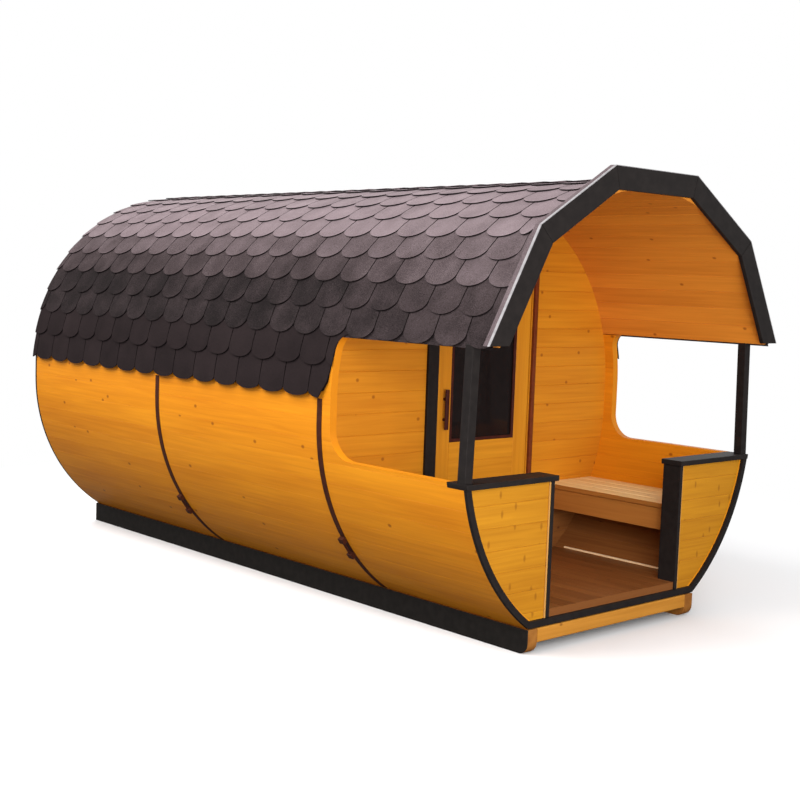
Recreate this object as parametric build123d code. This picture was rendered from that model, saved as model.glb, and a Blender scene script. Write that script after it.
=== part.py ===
from build123d import *
import os
from math import asin, cos, degrees, hypot, radians, sin, sqrt

os.makedirs("parts", exist_ok=True)

# Hull, in millimetres. Heights are measured from the underside of the hull.
hull_length = 4000
hull_radius = 1076
centre_out = 33
centre_low = 892
centre_high = 1030
stave = 42
shingle = 10
eave_z = 1330
eave_drop = 16
trim_thick = 18
gap = 1.5

# Floor, skids and beams
floor_thick = 76
sill_deep = 38
skid_height = 120
skid_wide = 70
skid_out = 15
skid_round = 55
beam_deep = 68
beam_wide = 60

# Porch
roof_front = 124
porch_depth = 990
opening_rear = 930
opening_low = 716
corner_low = 140
corner_high = 85
half_wall_in = 141
half_wall_thick = 100
cap_thick = 26
cap_front = 5
cap_depth = 128
cap_lip = 14
end_board = 22
end_front = 8
post = 48
post_front = 10
post_foot_in = 25
post_head_in = 16

# Bargeboards on the roof front, their outer corners by angle and by how far they stand
# proud of the round roof.
barge_eave_proud = 45
barge_knee_turn = 46.7
barge_knee_proud = 65
barge_ridge_turn = 75.8
barge_ridge_proud = 87
barge_deep = 108
barge_thick = 22
drip = 3
drip_reach = 38
verge_run = 185
verge_fall = 78
verge_start = 310

# Benches
bench_set = 39
bench_top = 468
bench_board = 26
apron_set = 12
apron_thick = 22
apron_deep = 118
lath = 20

# Bulkhead and door
bulkhead = 45
door_width = 715
over_door = 162
door_centre = 21
door_gap = 6
foot_gap = 5
threshold = 20
leaf_thick = 40
stile = 106
top_rail = 110
glass_foot = 640
glass_thick = 8
casing = 75
casing_narrow = 26
casing_thick = 18
head_deep = 46
stop_lap = 18
stop_thick = 15
knuckle_radius = 7
knuckle_high = 45
pin_radius = 4
pin_play = 0.08
pin_rise = 42
lift_gap = 0.5
flap_wide = 34
flap_thick = 3
hinge_inset = 200
handle_high = 214
handle_thick = 26
handle_reach = 62
handle_z = 922
handle_inset = 58
bracket = 18

# Straps and the scalloped skirt
strap_wide = 36
strap_thick = 3
porch_strap = 1012
room_strap = 2498
lug_high = 26
lug_long = 30
lug_upper_z = 290
lug_lower_z = 208
bolt_radius = 6
skirt_low = 1010
skirt_flare = 22
tab_drop = 36
tab_count = 13

front = -(hull_length - roof_front) / 2
base = skid_height
wide = 2 * hull_radius
tall = centre_high + wide
hull_front = trim_thick
hull_rear = hull_length - trim_thick
deck_front = barge_thick - roof_front


def run(face, y0, y1):
    """Sweeps a section, drawn as width and height, from y0 to y1 behind the hull front."""
    solid = extrude(face, amount=y1 - y0, dir=(0, 0, 1))
    return Pos(0, front + y1, base) * Rot(90, 0, 0) * solid


def outline(*points):
    """A flat face through the points."""
    return make_face(Polyline(*points, close=True))


def window(x0, x1, z0, z1):
    return outline((x0, z0), (x1, z0), (x1, z1), (x0, z1))


def block(x0, x1, y0, y1, z0, z1):
    """A square-edged timber between two corners."""
    return run(window(x0, x1, z0, z1), y0, y1)


def mirrored(shape):
    return mirror(shape, Plane.YZ)


def save(solid, name):
    export_step(solid, f"parts/{name}.step")


def save_pair(right, name):
    save(mirrored(right), name + "_left")
    save(right, name + "_right")


def side_x(z, grow=0):
    """Half width of the oval at a height."""
    r = hull_radius + grow
    if z < centre_low:
        return centre_out + sqrt(r**2 - (centre_low - z) ** 2)
    if z < centre_high:
        return centre_out + r
    return centre_out + sqrt(r**2 - (z - centre_high) ** 2)


def on_arc(turn, proud):
    """A point standing proud of the roof arc at an angle above level."""
    reach = hull_radius + proud
    return centre_out + reach * cos(radians(turn)), centre_high + reach * sin(radians(turn))


def oval(grow=0):
    """The hull section grown outward, a low and a high arc joined by a short upright."""
    r = hull_radius + grow
    side = centre_out + r
    slanted = (centre_out + r * sqrt(0.5), centre_high + r * sqrt(0.5))
    foot = (side_x(0, grow), 0)
    angle = asin(centre_low / r) / 2
    low_mid = (centre_out + r * cos(angle), centre_low - r * sin(angle))
    top = centre_high + r
    line = [
        Line((0, 0), foot),
        ThreePointArc(foot, low_mid, (side, centre_low)),
        Line((side, centre_low), (side, centre_high)),
        ThreePointArc((side, centre_high), slanted, (centre_out, top)),
        Line((centre_out, top), (0, top)),
        Line((0, top), (0, 0)),
    ]
    half = make_face(line)
    return half + mirrored(half)


outer_oval = oval()
inner_oval = oval(-stave)
shingle_oval = oval(shingle)
wall_ring = outer_oval - inner_oval
shingle_ring = shingle_oval - outer_oval

# Skids with a rounded front foot, and the cross beams between them.
skid_outer = side_x(0) + skid_out
skid = block(skid_outer - skid_wide, skid_outer, 0, hull_length, -skid_height, 0)
foot_edge = skid.edges().filter_by(Axis.X).group_by(Axis.Z)[0].sort_by(Axis.Y)[0]
skid = fillet(foot_edge, skid_round)
save_pair(skid, "skid")
reach = skid_outer - skid_wide
save(block(-reach, reach, 0, beam_wide, -beam_deep, 0), "front_cross_beam")
save(block(-reach, reach, hull_length - beam_wide, hull_length, -beam_deep, 0), "rear_cross_beam")

# Floor over the whole length, fitted between the staves.
floor = run(inner_oval & window(-wide, wide, 0, floor_thick), hull_front, hull_rear)
save(floor, "floor")

# Hull walls in two courses a side, the upper one round the rounded side opening.
split_z = opening_low - corner_low - 50
cap_seat = opening_low - cap_thick
before = -2 * roof_front
half_wall_inner = side_x(0) - half_wall_in
opening = block(half_wall_inner, wide, before, opening_rear, opening_low, eave_z)
rear_edges = opening.edges().filter_by(Axis.X).group_by(Axis.Y)[-1].sort_by(Axis.Z)
opening = fillet(rear_edges[0], corner_low)
top_edge = opening.edges().filter_by(Axis.X).group_by(Axis.Y)[-1].sort_by(Axis.Z)[-1]
opening = fillet(top_edge, corner_high)
low_course = run(wall_ring & window(0, wide, 0, split_z), hull_front, hull_rear)
high_course = run(wall_ring & window(0, wide, split_z, eave_z), hull_front, hull_rear)
high_course -= opening
high_course -= block(half_wall_inner, wide, before, cap_depth - cap_front, cap_seat, opening_low + 1)
save_pair(low_course, "hull_low")
save_pair(high_course, "hull_high")

# Posts from the caps up to the ends of the roof staves.
post_foot_x = side_x(opening_low) - post_foot_in
post_head_x = side_x(eave_z) - post_head_in
lean = outline(
    (post_foot_x - post / 2, opening_low),
    (post_foot_x + post / 2, opening_low),
    (post_head_x + post / 2, eave_z),
    (post_head_x - post / 2, eave_z),
)
post_right = run(lean, post_front, post_front + post)
save_pair(post_right, "post")

# Roof staves and shingles in five lengthwise strips; the shingles overhang at the porch eave.
pitch = (hull_length - porch_strap) / tab_count
skirt_front = porch_strap - pitch / 2
cuts = [radians(42), radians(67)]


def strip(ring, low, high):
    """The part of a ring between two angles, seen from the upper centre."""
    far = 2 * hull_radius
    a = (centre_out + far * cos(low), centre_high + far * sin(low))
    b = (centre_out + far * cos(high), centre_high + far * sin(high))
    return ring & outline((centre_out, centre_high), a, b)


above_eave = window(-wide, wide, eave_z, tall)
cap_wedge = outline(
    (centre_out, centre_high),
    (centre_out + 2 * hull_radius * cos(cuts[1]), centre_high + 2 * hull_radius * sin(cuts[1])),
    (-centre_out - 2 * hull_radius * cos(cuts[1]), centre_high + 2 * hull_radius * sin(cuts[1])),
    (-centre_out, centre_high),
)
for ring, name, y1 in ((wall_ring, "roof", hull_rear), (shingle_ring, "shingles", hull_length)):
    side = run(strip(ring, 0, cuts[0]) & above_eave, deck_front, y1)
    if ring is shingle_ring:
        side += run(ring & window(0, wide, eave_z - eave_drop, eave_z), deck_front, skirt_front)
        side -= post_right
    save_pair(side, name + "_side")
    save_pair(run(strip(ring, cuts[0], cuts[1]), deck_front, y1), name + "_upper")
    save(run(ring & cap_wedge, deck_front, y1), name + "_top")

# Shingle skirt down the hull side, flared and scalloped along its lower edge.
below = skirt_low - 10
low_x = side_x(below) + skirt_flare
mid_z = (skirt_low + eave_z) / 2
flare = ThreePointArc(
    (side_x(eave_z, shingle), eave_z),
    (side_x(mid_z) + (shingle + skirt_flare) / 2, mid_z),
    (low_x, below),
)
behind = side_x(below, -2 * stave)
back = Polyline(flare @ 1, (behind, below), (behind, eave_z), flare @ 0)
body = make_face([flare, *back.edges()])
notch_z = skirt_low + tab_drop
tabs = []
for i in range(tab_count + 1):
    y = porch_strap + pitch * i
    tabs.append(ThreePointArc((y - pitch / 2, notch_z), (y, skirt_low), (y + pitch / 2, notch_z)))
first, last = tabs[0] @ 0, tabs[-1] @ 1
top_line = Polyline(last, (last.X, eave_z + 5), (first.X, eave_z + 5), first)
side_plane = Plane(origin=(0, front, base), x_dir=(0, 1, 0), z_dir=(1, 0, 0))
scallops = extrude(side_plane * make_face([*tabs, *top_line.edges()]), amount=wide)
skirt = (run(body - outer_oval, skirt_front, hull_length) & scallops) - opening
save_pair(skirt, "skirt")


barge_eave_x = side_x(eave_z) + barge_eave_proud
barge_knee = on_arc(barge_knee_turn, barge_knee_proud)
barge_ridge = on_arc(barge_ridge_turn, barge_ridge_proud)


def barge_point(corner, depth):
    """A corner of the bargeboard line moved in by depth, mitred, with the eave cut level."""
    side_run = (barge_eave_x - barge_knee[0], barge_knee[1] - eave_z)
    upper_run = (barge_knee[0] - barge_ridge[0], barge_ridge[1] - barge_knee[1])
    sx, sz = side_run[1] / hypot(*side_run), side_run[0] / hypot(*side_run)
    ux, uz = upper_run[1] / hypot(*upper_run), upper_run[0] / hypot(*upper_run)
    if corner == 0:
        return barge_eave_x - depth / sx, eave_z
    if corner == 1:
        lean = 1 + sx * ux + sz * uz
        return barge_knee[0] - depth * (sx + ux) / lean, barge_knee[1] - depth * (sz + uz) / lean
    return barge_ridge[0] - depth * ux / (1 + uz), barge_ridge[1] - depth


def barge_flat(part, outer, inner):
    """Section of one flat of the bargeboards between two depths."""
    if part == 2:
        a = barge_point(2, outer)
        b = barge_point(2, inner)
        return outline((-a[0], a[1]), a, b, (-b[0], b[1]))
    outer_edge = (barge_point(part, outer), barge_point(part + 1, outer))
    return outline(*outer_edge, barge_point(part + 1, inner), barge_point(part, inner))


def mitre_cut(corner, y0, y1):
    """A thin wedge along the mitre line of a corner."""
    a = barge_point(corner, -barge_deep)
    b = barge_point(corner, 2 * barge_deep)
    long = hypot(a[0] - b[0], a[1] - b[1])
    dx = gap / 2 * (a[1] - b[1]) / long
    dz = gap / 2 * (b[0] - a[0]) / long
    edge = ((a[0] + dx, a[1] + dz), (b[0] + dx, b[1] + dz))
    return run(outline(*edge, (b[0] - dx, b[1] - dz), (a[0] - dx, a[1] - dz)), y0, y1)


def mitred(piece, y0, y1):
    """One course round the roof end in five flats, with a small gap at each mitre."""
    knee_cut = mitre_cut(1, y0 - gap, y1 + gap)
    ridge_cut = mitre_cut(2, y0 - gap, y1 + gap)
    side = piece(0) - knee_cut
    upper = piece(1) - knee_cut - ridge_cut
    top = piece(2) - ridge_cut - mirrored(ridge_cut)
    return Compound([side, mirrored(side), upper, mirrored(upper), top])


def bargeboard(part):
    return run(barge_flat(part, 0, barge_deep), -roof_front, deck_front)


def drip_strip(part):
    """A folded metal strip over the top edge of a bargeboard."""
    strip = run(barge_flat(part, -drip, 0), -roof_front, drip_reach - roof_front)
    return strip - run(shingle_oval, deck_front, drip_reach)


def verge_piece(part):
    """A tilting fillet that falls from one bargeboard back to the round of the roof."""
    slab = run(barge_flat(part, 0, 2 * verge_fall), deck_front, verge_end)
    a = barge_point(part, 0) if part < 2 else (-barge_ridge[0], barge_ridge[1])
    b = barge_point(part + 1, 0) if part < 2 else barge_ridge
    long = hypot(a[0] - b[0], a[1] - b[1])
    along = ((b[0] - a[0]) / long, 0, (b[1] - a[1]) / long)
    if part < 2:
        along = (-along[0], 0, -along[2])
    middle = ((a[0] + b[0]) / 2, front + deck_front, base + (a[1] + b[1]) / 2)
    plane = Plane(origin=middle, x_dir=(0, 1, 0), z_dir=along)
    wedge = outline((0, 0), (verge_run, -verge_fall), (verge_run, verge_fall), (0, verge_fall))
    slab -= extrude(plane * wedge, amount=long, both=True)
    slab -= run(shingle_oval, deck_front - gap, verge_end + gap)
    if part == 0:
        slab -= block(0, wide, before, verge_run, 0, eave_z + verge_start)
    return slab


verge_end = deck_front + verge_run
save(mitred(bargeboard, -roof_front, deck_front), "front_bargeboards")
save(mitred(drip_strip, -roof_front, drip_reach), "drip_edge")
save(mitred(verge_piece, deck_front, verge_end), "verge_fillet")

# Half walls beside the entry, with caps that run over the staves, and dark end boards.
wall_rear = hull_front + half_wall_thick
board_x = half_wall_inner + end_board
half_wall = inner_oval & window(board_x, wide, floor_thick, cap_seat)
save_pair(run(half_wall, hull_front, wall_rear), "half_wall")
cap = outer_oval & window(half_wall_inner - cap_lip, wide, cap_seat, opening_low)
save_pair(run(cap, -cap_front, cap_depth - cap_front), "half_wall_cap")
half_wall_end = inner_oval & window(half_wall_inner, board_x, floor_thick, cap_seat)
save_pair(run(half_wall_end, end_front, wall_rear), "half_wall_end")

# Dark trims on the front edge of the hull, along the floor line and round the rear edge.
front_trim = wall_ring & window(0, wide, sill_deep, cap_seat)
save_pair(run(front_trim, 0, trim_thick), "front_trim")
sill = outer_oval & window(-wide, wide, 0, sill_deep)
save(run(sill, 0, trim_thick), "sill_trim")
rear_ring = wall_ring + sill
save(run(rear_ring, hull_rear, hull_length), "rear_trim")
save(run(inner_oval & window(-wide, wide, floor_thick, tall), hull_rear - bulkhead, hull_rear), "rear_wall")

# Bulkhead behind the porch, split beside and over the doorway.
door_left = door_centre - door_width / 2
door_right = door_centre + door_width / 2
door_low = floor_thick + threshold + foot_gap
hole_top = centre_high + hull_radius - stave - over_door
door_top = hole_top - door_gap
hole_left = door_left - door_gap
hole_right = door_right + door_gap
y0 = porch_depth
y1 = porch_depth + bulkhead
save(run(inner_oval & window(-wide, hole_left, floor_thick, tall), y0, y1), "bulkhead_left")
save(run(inner_oval & window(hole_right, wide, floor_thick, tall), y0, y1), "bulkhead_right")
save(run(inner_oval & window(hole_left, hole_right, hole_top, tall), y0, y1), "bulkhead_over_door")
save(block(hole_left, hole_right, y0, y1, floor_thick, floor_thick + threshold), "threshold")

# Casings on the porch side of the doorway and stops on the room side.
pin_x = door_right + door_gap / 2
pin_y = porch_depth - knuckle_radius - 1
narrow_x = pin_x + knuckle_radius + 4
c0 = porch_depth - casing_thick
save(block(hole_left - casing, hole_left, c0, y0, floor_thick, hole_top), "door_casing_left")
save(block(narrow_x, narrow_x + casing_narrow, c0, y0, floor_thick, hole_top), "door_casing_right")
save(
    block(hole_left - casing, narrow_x + casing_narrow, c0, y0, hole_top, hole_top + head_deep),
    "door_casing_head",
)
s1 = y1 + stop_thick
stop_top = hole_top - stop_lap
stops = [
    block(hole_left - stop_lap, hole_left + stop_lap, y1, s1, floor_thick, stop_top - gap),
    block(hole_right - stop_lap, hole_right + stop_lap, y1, s1, floor_thick, stop_top - gap),
    block(hole_left - stop_lap, hole_right + stop_lap, y1, s1, stop_top, hole_top + stop_lap),
]
save(Compound(stops), "door_stops")

# Door leaf with a glazed upper part, lift-off hinges and a bar handle.
l1 = y0 + leaf_thick
leaf = block(door_left, door_right, y0, l1, door_low, door_top)
glass = (door_left + stile, door_right - stile, door_low + glass_foot, door_top - top_rail)
leaf -= block(glass[0], glass[1], y0 - 5, l1 + 5, glass[2], glass[3])
save(leaf, "door_leaf")
g0 = y0 + (leaf_thick - glass_thick) / 2
save(block(glass[0], glass[1], g0, g0 + glass_thick, glass[2], glass[3]), "door_glass")
fixed = []
moving = []
for z in (door_low + hinge_inset, door_top - hinge_inset):
    mid = z + knuckle_high + lift_gap
    x, y = pin_x, front + pin_y
    lower = Pos(x, y, base + z + knuckle_high / 2) * Cylinder(knuckle_radius, knuckle_high)
    pin = Pos(x, y, base + z + knuckle_high) * Cylinder(pin_radius, 2 * pin_rise)
    fixed.append(lower + pin + block(pin_x, narrow_x, pin_y - 2, pin_y + 2, z, z + knuckle_high))
    upper = Pos(x, y, base + mid + knuckle_high / 2) * Cylinder(knuckle_radius, knuckle_high)
    flap = block(door_right - flap_wide, pin_x, y0 - flap_thick, y0, mid, mid + knuckle_high)
    bore = Pos(x, y, base + mid + knuckle_high / 2) * Cylinder(pin_radius + pin_play, knuckle_high + 2)
    moving.append(upper + flap - bore)
save(Compound(fixed), "door_hinge_pins")
save(Compound(moving), "door_hinge_flaps")
hx = door_left + handle_inset
h0 = y0 - handle_reach
grip = block(
    hx - handle_thick / 2, hx + handle_thick / 2, h0, h0 + handle_thick,
    handle_z - handle_high / 2, handle_z + handle_high / 2,
)
grip = fillet(grip.edges().filter_by(Axis.Z), handle_thick / 3)
for z in (handle_z - handle_high / 3, handle_z + handle_high / 3):
    grip += block(hx - bracket / 2, hx + bracket / 2, h0 + handle_thick / 2, y0, z - bracket, z + bracket)
save(grip, "door_handle")

# Benches along both porch sides, each a seat over a deep apron, and laths at the floor edge.
bench_front = half_wall_inner + bench_set
seat = inner_oval & window(bench_front, wide, bench_top - bench_board, bench_top)
save_pair(run(seat, wall_rear, y0), "bench_seat")
apron_x = bench_front + apron_set
apron_z = bench_top - bench_board
save_pair(
    block(apron_x, apron_x + apron_thick, wall_rear, y0, apron_z - apron_deep, apron_z), "bench_apron"
)
edge = inner_oval & window(side_x(floor_thick, -stave) - lath, wide, floor_thick, floor_thick + lath)
edge_lath = run(edge, wall_rear, y0)
save(Compound([edge_lath, mirrored(edge_lath)]), "floor_laths")


def on_hull(z, shape):
    """Stands a shape on the outside of the low arc at a height."""
    tilt = degrees(asin((z - centre_low) / hull_radius))
    return Pos(centre_out, 0, base + centre_low) * Rot(0, -tilt, 0) * shape


def strap(y):
    """A steel strap on one side of the hull, with two lugs drawn together by a bolt."""
    grown = oval(strap_thick)
    ring = (grown - outer_oval) & window(0, wide, 0, skirt_low - 4)
    band = run(ring, y - strap_wide / 2, y + strap_wide / 2)
    lug_r = hull_radius + lug_high / 2
    lug = Pos(lug_r, front + y, 0) * Box(lug_high, strap_wide, lug_long)
    lugs = [on_hull(z, lug) for z in (lug_upper_z, lug_lower_z)]
    middle = (lug_upper_z + lug_lower_z) / 2
    span = lug_upper_z - lug_lower_z + lug_long
    bolt = Pos(hull_radius + lug_high * 0.6, front + y, 0) * Cylinder(bolt_radius, span)
    return band + lugs[0] + lugs[1] + on_hull(middle, bolt)


for name, y in (("porch", porch_strap), ("room", room_strap)):
    one = strap(y) - run(outer_oval, y - strap_wide, y + strap_wide)
    save(Compound([one, mirrored(one)]), f"strap_{name}")
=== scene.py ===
import random
from math import asin, cos, pi, radians, sin, sqrt

import bmesh
import bpy
from mathutils import Matrix, Vector


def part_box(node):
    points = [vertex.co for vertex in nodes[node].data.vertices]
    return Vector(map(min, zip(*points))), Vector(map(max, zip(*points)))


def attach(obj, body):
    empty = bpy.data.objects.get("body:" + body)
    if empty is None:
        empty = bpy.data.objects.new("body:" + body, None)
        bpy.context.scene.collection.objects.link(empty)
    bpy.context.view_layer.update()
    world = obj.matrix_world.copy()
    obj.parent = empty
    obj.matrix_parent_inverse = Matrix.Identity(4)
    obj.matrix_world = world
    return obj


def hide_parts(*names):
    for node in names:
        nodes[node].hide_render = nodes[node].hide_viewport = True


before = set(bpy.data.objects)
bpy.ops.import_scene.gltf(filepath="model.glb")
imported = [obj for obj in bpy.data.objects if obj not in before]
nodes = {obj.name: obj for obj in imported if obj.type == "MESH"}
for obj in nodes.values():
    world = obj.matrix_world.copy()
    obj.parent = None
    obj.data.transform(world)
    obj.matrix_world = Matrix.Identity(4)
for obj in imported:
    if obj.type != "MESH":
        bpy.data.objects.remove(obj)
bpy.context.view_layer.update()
scene = bpy.context.scene

# The view: a camera at standing height off the porch's left corner,
# looking along the hull, as the sauna was photographed.
yaw, pitch, roll = radians(42.44), radians(5.21), radians(2.02)
ahead = Vector((sin(yaw) * cos(pitch), cos(yaw) * cos(pitch), -sin(pitch)))
across = ahead.cross(Vector((0, 0, 1))).normalized()
above = across.cross(ahead)
right = across * cos(roll) + above * sin(roll)
up = above * cos(roll) - across * sin(roll)
lens = bpy.data.cameras.new("camera")
lens.sensor_width = 36
lens.lens = 58.63
camera = bpy.data.objects.new("camera", lens)
turned = Matrix((right, up, -ahead)).transposed().to_4x4()
stand_point = (-5.111, -5.884, 1.713)
camera.matrix_world = Matrix.Translation(stand_point) @ turned
scene.collection.objects.link(camera)
scene.camera = camera

# The stage: a pale floor that keeps the sauna's shadow, a soft sky and four
# soft lamps. None of it is part of the sauna.
scene.view_settings.view_transform = "Standard"
world = bpy.data.worlds.new("sky")
scene.world = world
world.use_nodes = True
sky = world.node_tree
sky.nodes.clear()
rays = sky.nodes.new("ShaderNodeLightPath")
seen = sky.nodes.new("ShaderNodeMath")
seen.operation = "MAXIMUM"
seen_in_gloss = sky.nodes.new("ShaderNodeMath")
seen_in_gloss.operation = "MAXIMUM"
sky.links.new(rays.outputs["Is Camera Ray"], seen.inputs[0])
sky.links.new(rays.outputs["Is Transmission Ray"], seen.inputs[1])
sky.links.new(seen.outputs[0], seen_in_gloss.inputs[0])
sky.links.new(rays.outputs["Is Glossy Ray"], seen_in_gloss.inputs[1])
soft = sky.nodes.new("ShaderNodeBackground")
soft.inputs["Color"].default_value = (0.97, 0.98, 1, 1)
heading = sky.nodes.new("ShaderNodeTexCoord")
height = sky.nodes.new("ShaderNodeSeparateXYZ")
dome = sky.nodes.new("ShaderNodeMapRange")
dome.inputs["From Min"].default_value = -0.1
dome.inputs["From Max"].default_value = 0.9
dome.inputs["To Min"].default_value = 0.32
dome.inputs["To Max"].default_value = 0.80
sky.links.new(heading.outputs["Generated"], height.inputs[0])
sky.links.new(height.outputs["Z"], dome.inputs["Value"])
sky.links.new(dome.outputs[0], soft.inputs["Strength"])
white = sky.nodes.new("ShaderNodeBackground")
white.inputs["Color"].default_value = (1, 1, 1, 1)
white.inputs["Strength"].default_value = 1
sky_mix = sky.nodes.new("ShaderNodeMixShader")
sky.links.new(seen_in_gloss.outputs[0], sky_mix.inputs[0])
sky.links.new(soft.outputs[0], sky_mix.inputs[1])
sky.links.new(white.outputs[0], sky_mix.inputs[2])
sky_out = sky.nodes.new("ShaderNodeOutputWorld")
sky.links.new(sky_mix.outputs[0], sky_out.inputs[0])

flat = bmesh.new()
bmesh.ops.create_grid(flat, x_segments=1, y_segments=1, size=40)
ground_mesh = bpy.data.meshes.new("ground")
flat.to_mesh(ground_mesh)
flat.free()
ground = bpy.data.objects.new("ground", ground_mesh)
scene.collection.objects.link(ground)
pale = bpy.data.materials.new("pale_ground")
pale.use_nodes = True
tree = pale.node_tree
matt = tree.nodes["Principled BSDF"]
matt.inputs["Roughness"].default_value = 1
matt.inputs["Specular IOR Level"].default_value = 0
place = tree.nodes.new("ShaderNodeTexCoord")
far = tree.nodes.new("ShaderNodeVectorMath")
far.operation = "LENGTH"
tree.links.new(place.outputs["Object"], far.inputs[0])
fade = tree.nodes.new("ShaderNodeMapRange")
fade.inputs["From Min"].default_value = 2.4
fade.inputs["From Max"].default_value = 4.6
tree.links.new(far.outputs["Value"], fade.inputs["Value"])
glow = tree.nodes.new("ShaderNodeEmission")
glow.inputs["Color"].default_value = (1, 1, 1, 1)
glow.inputs["Strength"].default_value = 1
rays = tree.nodes.new("ShaderNodeLightPath")
paint = tree.nodes.new("ShaderNodeMix")
paint.data_type = "RGBA"
paint.inputs[6].default_value = (0.16, 0.16, 0.16, 1)
paint.inputs[7].default_value = (0.96, 0.96, 0.96, 1)
tree.links.new(rays.outputs["Is Camera Ray"], paint.inputs[0])
tree.links.new(paint.outputs[2], matt.inputs["Base Color"])
faded = tree.nodes.new("ShaderNodeMath")
faded.operation = "MULTIPLY"
tree.links.new(fade.outputs[0], faded.inputs[0])
tree.links.new(rays.outputs["Is Camera Ray"], faded.inputs[1])
merge = tree.nodes.new("ShaderNodeMixShader")
tree.links.new(faded.outputs[0], merge.inputs[0])
tree.links.new(matt.outputs[0], merge.inputs[1])
tree.links.new(glow.outputs[0], merge.inputs[2])
tree.links.new(merge.outputs[0], tree.nodes["Material Output"].inputs["Surface"])
ground_mesh.materials.append(pale)

for name, stand, aim, size, power in (
    ("overhead", (-5.0, 0.6, 6.2), (0, 0.3, 1.0), 5.0, 640),
    ("porch_side", (-4.2, -6.2, 2.8), (0, -1.4, 0.9), 2.6, 225),
    ("porch_low", (-1.2, -5.6, 0.8), (0.1, -1.3, 1.9), 2.4, 125),
    ("rear_side", (3.5, 6.0, 5.0), (0, 1.0, 1.0), 4.0, 250),
):
    lamp = bpy.data.lights.new(name, "AREA")
    lamp.size = size
    lamp.energy = power
    lamp_object = bpy.data.objects.new(name, lamp)
    away = Vector(stand) - Vector(aim)
    facing = away.to_track_quat("Z", "Y").to_matrix().to_4x4()
    lamp_object.matrix_world = Matrix.Translation(stand) @ facing
    scene.collection.objects.link(lamp_object)

# Hull walls: lengthwise pine staves bent round the oval and drawn tight by steel
# straps, planed and glazed amber, with fine joints where their edges are eased.
# The lowest are painted dark brown inside the porch, as painted shade beneath the benches.
front_y = -1.938
base_z = 0.120
hull_rear = 4.000
arc_radius = 1.076
arc_out = 0.033
low_centre = 0.892
high_centre = 1.030
low_turn = asin(low_centre / arc_radius)
low_arc = arc_radius * low_turn
upright = low_arc + high_centre - low_centre
ridge_run = upright + arc_radius * pi / 2 + arc_out
eave_height = 1.330
eave_run = upright + arc_radius * asin((eave_height - high_centre) / arc_radius)
stave_thick = 0.042
trim_thick = 0.018
stave_ease = 0.0011


def on_hull(along, run, proud):
    """A point on the oval: how far back, how far up from the right foot and over
    the ridge, and how far out from the staves' outer face."""
    side = 1
    if run > ridge_run:
        side = -1
        run = 2 * ridge_run - run
    reach = arc_radius + proud
    if run < low_arc:
        turn = run / arc_radius - low_turn
        x, z = arc_out + reach * cos(turn), low_centre + reach * sin(turn)
    elif run < upright:
        x, z = arc_out + reach, low_centre + run - low_arc
    elif run < upright + arc_radius * pi / 2:
        turn = (run - upright) / arc_radius
        x, z = arc_out + reach * cos(turn), high_centre + reach * sin(turn)
    else:
        x, z = ridge_run - run, high_centre + reach
    return Vector((side * x, front_y + along, base_z + z))


def bisect(shape, point, normal, clear=False):
    """Cuts a shape along a plane, and closes the cut where the far side goes."""
    parts = shape.verts[:] + shape.edges[:] + shape.faces[:]
    cut = bmesh.ops.bisect_plane(shape, geom=parts, plane_co=point, plane_no=normal, clear_outer=clear)
    if clear:
        rim = [g for g in cut["geom_cut"] if isinstance(g, bmesh.types.BMEdge)]
        bmesh.ops.holes_fill(shape, edges=rim)


def block(low, high):
    """A square block between two corners."""
    shape = bmesh.new()
    middle, size = (low + high) / 2, high - low
    bmesh.ops.create_cube(shape, size=1, matrix=Matrix.Translation(middle) @ Matrix.Diagonal((*size, 1)))
    return shape


def plank(length, width, thick, ease, number, bends=1):
    """A planed board along X with eased edges; its number shifts the grain."""
    half = Vector((length, width, thick)) / 2
    board = block(-half, half)
    long_edges = [e for e in board.edges if abs(e.verts[0].co.x - e.verts[1].co.x) > length / 2]
    if ease:
        bmesh.ops.bevel(board, geom=long_edges, offset=ease, segments=1, profile=0.5,
                        affect="EDGES", material=-1)
    for i in range(1, bends):
        bisect(board, (0, width * (i / bends - 0.5), 0), (0, 1, 0))
    grain = board.loops.layers.uv.new("grain")
    start = Vector((length / 2 + 3.7 * (number % 17), 0.31 * number))
    for face in board.faces:
        for loop in face.loops:
            co = loop.vert.co
            loop[grain].uv = start + Vector((co.x, co.y + co.z / 2))
    return board


def as_mesh(shape, name):
    """Writes a shape to a mesh and lets the shape go."""
    mesh = bpy.data.meshes.new(name)
    shape.to_mesh(mesh)
    shape.free()
    return mesh


def add(whole, shape, move):
    """Moves a shape's points into place and adds it to the piece."""
    here = move(Vector())
    steps = [move(Vector(step) / 1000) - here for step in ((1, 0, 0), (0, 1, 0), (0, 0, 1))]
    mirrored = steps[0].cross(steps[1]).dot(steps[2]) < 0
    for v in shape.verts:
        v.co = move(v.co)
    if mirrored:
        bmesh.ops.reverse_faces(shape, faces=shape.faces)
    carrier = as_mesh(shape, "carrier")
    whole.from_mesh(carrier)
    bpy.data.meshes.remove(carrier)


def stand_for(whole, name, material, names, body="sauna"):
    """Makes the piece an object on its body, in its finish, in place of plain solids."""
    piece = bpy.data.objects.new(name, as_mesh(whole, name))
    scene.collection.objects.link(piece)
    piece.data.materials.append(material)
    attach(piece, body)
    if names:
        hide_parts(*names)
    return piece


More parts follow.
